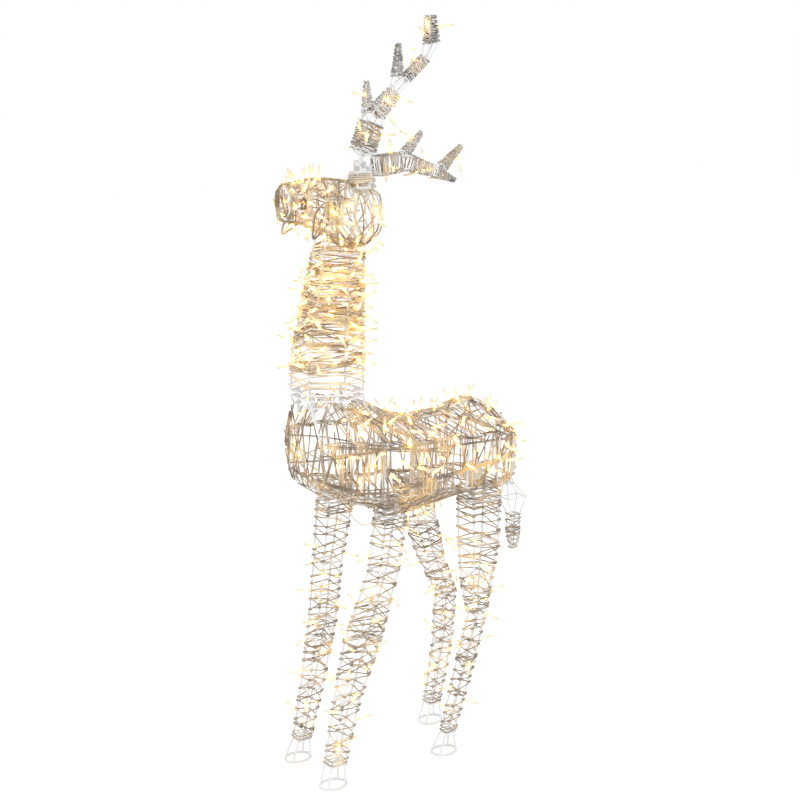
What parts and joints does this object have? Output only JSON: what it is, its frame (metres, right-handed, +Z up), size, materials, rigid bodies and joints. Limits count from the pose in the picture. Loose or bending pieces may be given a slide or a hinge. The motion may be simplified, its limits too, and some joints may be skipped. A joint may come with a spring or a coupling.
{
  "type": "light-up yard reindeer",
  "caption": "Standing wire-frame yard reindeer wound with rattan-look cord and covered in warm white needle lamps, with plug-in neck and legs and folding antlers.",
  "frame": {"origin": "on the ground, under the middle of the whole reindeer's box", "axes": "+Z up, the animal faces -Y, its left side is +X"},
  "size_m": [0.2819, 0.5783, 1.4958],
  "materials": {
    "white_wire": "white powder-coated steel wire, satin",
    "rattan_cord": "grey-beige synthetic rattan cord, matte with fine streaks",
    "silver_cord": "silver-grey synthetic rattan cord, matte",
    "lamp_clear": "clear moulded lamp holder around a warm white light",
    "clear_cable": "thin clear cable with a faint pink copper tone",
    "ivory_plastic": "moulded weatherproof plastic",
    "zinc_bolt": "zinc-plated"
  },
  "bodies": {
    "torso": {"torso_hoops": "white_wire", "torso_rails": "white_wire", "neck_collar": "white_wire", "neck_sockets": "white_wire", "leg_sockets": "white_wire", "winding_back_left": "rattan_cord", "winding_back_right": "rattan_cord", "winding_flank_left": "rattan_cord", "winding_flank_right": "rattan_cord", "winding_belly_left": "rattan_cord", "winding_belly_right": "rattan_cord", "winding_ridge": "rattan_cord", "winding_keel": "rattan_cord", "winding_chest": "rattan_cord", "winding_rump": "rattan_cord", "torso_lamps": "lamp_clear", "torso_lamp_cable": "clear_cable", "power_inlet": "ivory_plastic", "tail_frame": "white_wire", "tail_winding": "rattan_cord"},
    "neck_and_head": {"neck_frame": "white_wire", "neck_pins": "white_wire", "neck_winding": "rattan_cord", "neck_lamps": "lamp_clear", "head_hoops": "white_wire", "head_rails": "white_wire", "head_winding": "rattan_cord", "muzzle_winding": "rattan_cord", "head_lamps": "lamp_clear", "ear_left": "rattan_cord", "ear_right": "rattan_cord", "antler_bracket_left": "white_wire", "antler_bracket_right": "white_wire", "stub_winding_left": "rattan_cord", "stub_winding_right": "rattan_cord", "antler_bolts": "zinc_bolt"},
    "antler_left": {"antler_left_hoops": "white_wire", "antler_left_rails": "white_wire", "antler_left_winding": "silver_cord", "antler_left_lamps": "lamp_clear"},
    "antler_right": {"antler_right_hoops": "white_wire", "antler_right_rails": "white_wire", "antler_right_winding": "silver_cord", "antler_right_lamps": "lamp_clear"},
    "leg_front_left": {"leg_front_left_frame": "white_wire", "leg_front_left_winding": "rattan_cord", "leg_front_left_lamps": "lamp_clear", "hoof_front_left": "white_wire"},
    "leg_front_right": {"leg_front_right_frame": "white_wire", "leg_front_right_winding": "rattan_cord", "leg_front_right_lamps": "lamp_clear", "hoof_front_right": "white_wire"},
    "leg_rear_left": {"leg_rear_left_frame": "white_wire", "leg_rear_left_winding": "rattan_cord", "leg_rear_left_lamps": "lamp_clear", "hoof_rear_left": "white_wire"},
    "leg_rear_right": {"leg_rear_right_frame": "white_wire", "leg_rear_right_winding": "rattan_cord", "leg_rear_right_lamps": "lamp_clear", "hoof_rear_right": "white_wire"}
  },
  "joints": [
    {"name": "neck_lift", "type": "slide", "parent": "torso", "child": "neck_and_head", "axis": [0, 0, 1], "range_m": [0, 0.05]},
    {"name": "antler_left_fold", "type": "hinge", "parent": "neck_and_head", "child": "antler_left", "pos_m": [0.026, -0.134, 1.218], "axis": [-1, 0, 0], "range_deg": [0, 62]},
    {"name": "antler_right_fold", "type": "hinge", "parent": "neck_and_head", "child": "antler_right", "pos_m": [-0.03, -0.09, 1.205], "axis": [1, 0, 0], "range_deg": [0, 62]},
    {"name": "leg_front_left_unplug", "type": "slide", "parent": "torso", "child": "leg_front_left", "axis": [0, 0, -1], "range_m": [0, 0.04]},
    {"name": "leg_front_right_unplug", "type": "slide", "parent": "torso", "child": "leg_front_right", "axis": [0, 0, -1], "range_m": [0, 0.04]},
    {"name": "leg_rear_left_unplug", "type": "slide", "parent": "torso", "child": "leg_rear_left", "axis": [0, 0, -1], "range_m": [0, 0.04]},
    {"name": "leg_rear_right_unplug", "type": "slide", "parent": "torso", "child": "leg_rear_right", "axis": [0, 0, -1], "range_m": [0, 0.04]}
  ]
}
